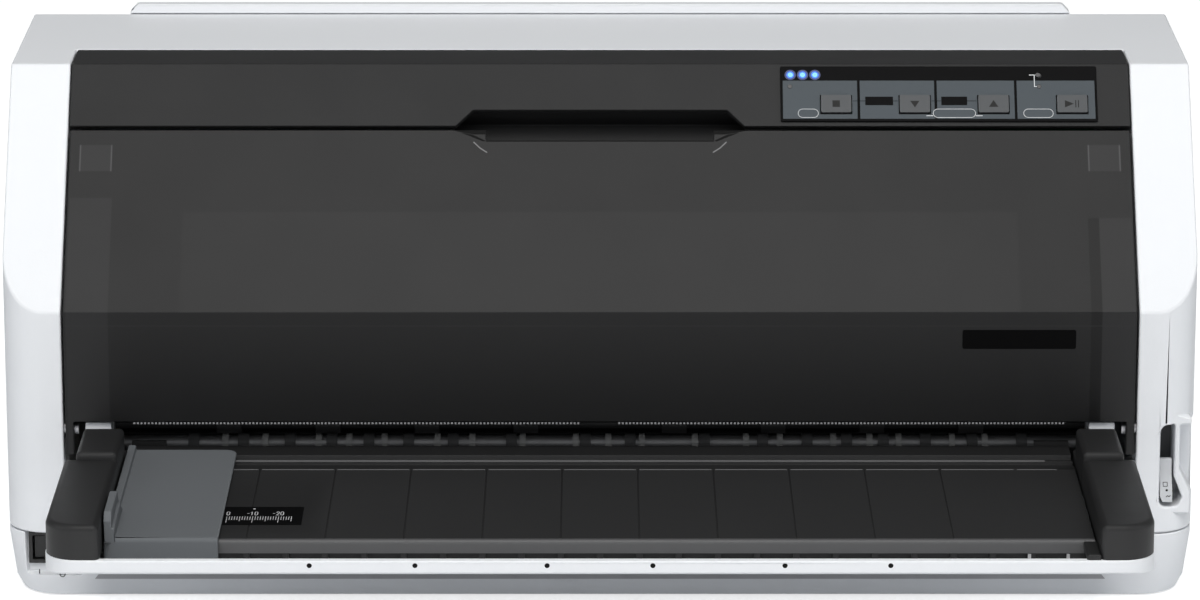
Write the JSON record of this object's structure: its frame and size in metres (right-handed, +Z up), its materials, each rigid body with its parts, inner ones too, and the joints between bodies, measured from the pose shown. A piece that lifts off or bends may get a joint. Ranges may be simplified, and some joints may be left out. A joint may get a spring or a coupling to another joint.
{
  "type": "dot matrix printer",
  "caption": "Flatbed dot matrix printer: white casing, smoked hinged cover, control strip, black paper shelf with edge guide, full print and feed mechanism.",
  "frame": {"origin": "middle of the footprint of the whole printer, on the table under the feet", "axes": "+X to the right along the casing, +Y to the back, +Z up"},
  "size_m": [0.48, 0.37, 0.21],
  "materials": {
    "white_casing": "fine sparked texture",
    "black_trim": "satin sparked texture",
    "tray_black": "fine matt texture",
    "guide_grey": "fine matt texture",
    "smoked_cover": "smoked translucent plastic",
    "tear_teeth": "light teeth",
    "overlay": "satin printed film",
    "button_grey": "satin",
    "lamp_blue": "lit blue lens",
    "lamp_dark": "dark smoked lens",
    "board_green": "solder mask",
    "supply_board": "phenolic board with parts",
    "zinc_steel": "zinc plated sheet",
    "ground_steel": "ground and polished",
    "screw_steel": "nickel plated",
    "roller_rubber": "matt rubber",
    "pinch_plastic": "acetal",
    "clip_light": "acetal",
    "gear_acetal": "natural acetal",
    "brass_part": "turned brass",
    "bush_bronze": "sintered bronze",
    "motor_black": "black lacquer",
    "head_aluminium": "black anodised casting",
    "platen_steel": "black plated steel",
    "carriage_plastic": "glass filled plastic",
    "cartridge_black": "fine matt texture",
    "ribbon_cloth": "inked woven nylon",
    "knob_blue": "satin",
    "switch_black": "satin",
    "shroud_grey": "matt",
    "lever_grey": "satin",
    "scale_black": "printed film"
  },
  "bodies": {
    "casing": {"lower_case": "white_casing", "upper_case": "white_casing", "rubber_feet": "roller_rubber", "case_screws": "screw_steel", "top_trim": "black_trim", "control_overlay": "overlay", "lamps_lit": "lamp_blue", "lamps_dark": "lamp_dark", "panel_board": "board_green", "cover_pins": "zinc_steel", "tray_shell": "white_casing", "tray_table": "tray_black", "tray_arm_left": "tray_black", "tray_arm_right": "tray_black", "scale_strip": "scale_black", "power_switch": "switch_black", "lever_shroud": "shroud_grey", "guide_brackets": "zinc_steel", "socket_plate": "zinc_steel", "mains_inlet": "switch_black", "side_frame_left": "zinc_steel", "side_frame_right": "zinc_steel", "frame_bars": "zinc_steel", "paper_guides": "tray_black", "platen": "platen_steel", "shaft_bushes": "bush_bronze", "roller_clips": "clip_light", "feed_motor": "motor_black", "guide_shaft": "ground_steel", "carriage_motor": "motor_black", "timing_belt": "roller_rubber", "ribbon_cartridge": "cartridge_black", "ribbon_band": "ribbon_cloth", "main_board": "board_green", "power_supply": "supply_board"},
    "cover": {"front_cover": "smoked_cover", "tear_edge": "tear_teeth"},
    "button_square": {"button_square": "button_grey"},
    "button_down": {"button_down": "button_grey"},
    "button_up": {"button_up": "button_grey"},
    "button_play": {"button_play": "button_grey"},
    "edge_guide": {"edge_guide": "guide_grey"},
    "rocker": {"power_rocker": "switch_black"},
    "lever": {"release_lever": "lever_grey"},
    "rear_guide": {"rear_sheet_guide": "white_casing"},
    "front_feed": {"front_shaft": "ground_steel", "front_rollers": "roller_rubber", "front_gear": "gear_acetal"},
    "rear_feed": {"rear_shaft": "ground_steel", "rear_rollers": "roller_rubber", "rear_gear": "gear_acetal"},
    "front_pinch": {"front_pinch": "pinch_plastic"},
    "rear_pinch": {"rear_pinch": "pinch_plastic"},
    "middle_gear": {"middle_gear": "gear_acetal"},
    "pinion": {"motor_pinion": "brass_part"},
    "carriage": {"carriage": "carriage_plastic", "print_head": "head_aluminium"},
    "drive_pulley": {"drive_pulley": "brass_part"},
    "idler_pulley": {"idler_pulley": "gear_acetal"},
    "ribbon_knob": {"ribbon_knob": "knob_blue"}
  },
  "joints": [
    {"name": "cover_hinge", "type": "hinge", "parent": "casing", "child": "cover", "pos_m": [0, -0.04, 0.07], "axis": [1, 0, 0], "range_deg": [0, 58]},
    {"name": "edge_guide_slide", "type": "slide", "parent": "casing", "child": "edge_guide", "axis": [1, 0, 0], "range_m": [0, 0.025]},
    {"name": "rocker_swing", "type": "hinge", "parent": "casing", "child": "rocker", "pos_m": [-0.222, -0.034, 0.0195], "axis": [0, 0, 1], "range_deg": [0, 14]},
    {"name": "lever_swing", "type": "hinge", "parent": "casing", "child": "lever", "pos_m": [0.2284, -0.0408, 0.0425], "axis": [1, 0, 0], "range_deg": [0, 35]},
    {"name": "rear_guide_hinge", "type": "hinge", "parent": "casing", "child": "rear_guide", "pos_m": [0, 0.18065, 0.14978], "axis": [-1, 0, 0], "range_deg": [0, 60]},
    {"name": "feed_gear_spin", "type": "hinge", "parent": "casing", "child": "middle_gear", "pos_m": [-0.202, 0.026, 0.0601], "axis": [1, 0, 0], "continuous": true},
    {"name": "front_feed_spin", "type": "hinge", "parent": "casing", "child": "front_feed", "pos_m": [0, -0.028, 0.0601], "axis": [1, 0, 0], "continuous": true},
    {"name": "rear_feed_spin", "type": "hinge", "parent": "casing", "child": "rear_feed", "pos_m": [0, 0.08, 0.0601], "axis": [1, 0, 0], "continuous": true},
    {"name": "front_pinch_spin", "type": "hinge", "parent": "casing", "child": "front_pinch", "pos_m": [0, -0.028, 0.0683], "axis": [1, 0, 0], "continuous": true},
    {"name": "rear_pinch_spin", "type": "hinge", "parent": "casing", "child": "rear_pinch", "pos_m": [0, 0.08, 0.0683], "axis": [1, 0, 0], "continuous": true},
    {"name": "pinion_spin", "type": "hinge", "parent": "casing", "child": "pinion", "pos_m": [-0.202, 0.06918, 0.03297], "axis": [1, 0, 0], "continuous": true},
    {"name": "carriage_slide", "type": "slide", "parent": "casing", "child": "carriage", "axis": [1, 0, 0], "range_m": [-0.14, 0.14]},
    {"name": "drive_pulley_spin", "type": "hinge", "parent": "casing", "child": "drive_pulley", "pos_m": [-0.165, 0.088, 0.112], "axis": [0, 0, 1], "continuous": true},
    {"name": "idler_pulley_spin", "type": "hinge", "parent": "casing", "child": "idler_pulley", "pos_m": [0.165, 0.088, 0.112], "axis": [0, 0, 1], "continuous": true},
    {"name": "ribbon_knob_spin", "type": "hinge", "parent": "casing", "child": "ribbon_knob", "pos_m": [-0.15, -0.011, 0.1], "axis": [0, 0, 1], "continuous": true},
    {"name": "button_square_press", "type": "slide", "parent": "casing", "child": "button_square", "axis": [0, 0.7831, -0.6219], "range_m": [0, 0.0008], "stiffness_N_per_m": 300},
    {"name": "button_down_press", "type": "slide", "parent": "casing", "child": "button_down", "axis": [0, 0.7831, -0.6219], "range_m": [0, 0.0008], "stiffness_N_per_m": 300},
    {"name": "button_up_press", "type": "slide", "parent": "casing", "child": "button_up", "axis": [0, 0.7831, -0.6219], "range_m": [0, 0.0008], "stiffness_N_per_m": 300},
    {"name": "button_play_press", "type": "slide", "parent": "casing", "child": "button_play", "axis": [0, 0.7831, -0.6219], "range_m": [0, 0.0008], "stiffness_N_per_m": 300}
  ],
  "couplings": [
    {"joint": "front_feed_spin", "follows": "feed_gear_spin", "ratio": -3.5},
    {"joint": "rear_feed_spin", "follows": "feed_gear_spin", "ratio": -3.5},
    {"joint": "front_pinch_spin", "follows": "feed_gear_spin", "ratio": 3.4125},
    {"joint": "rear_pinch_spin", "follows": "feed_gear_spin", "ratio": 3.4125},
    {"joint": "pinion_spin", "follows": "feed_gear_spin", "ratio": -4.6667},
    {"joint": "drive_pulley_spin", "follows": "carriage_slide", "rad_per_m": 129.87},
    {"joint": "idler_pulley_spin", "follows": "carriage_slide", "rad_per_m": 129.87}
  ]
}
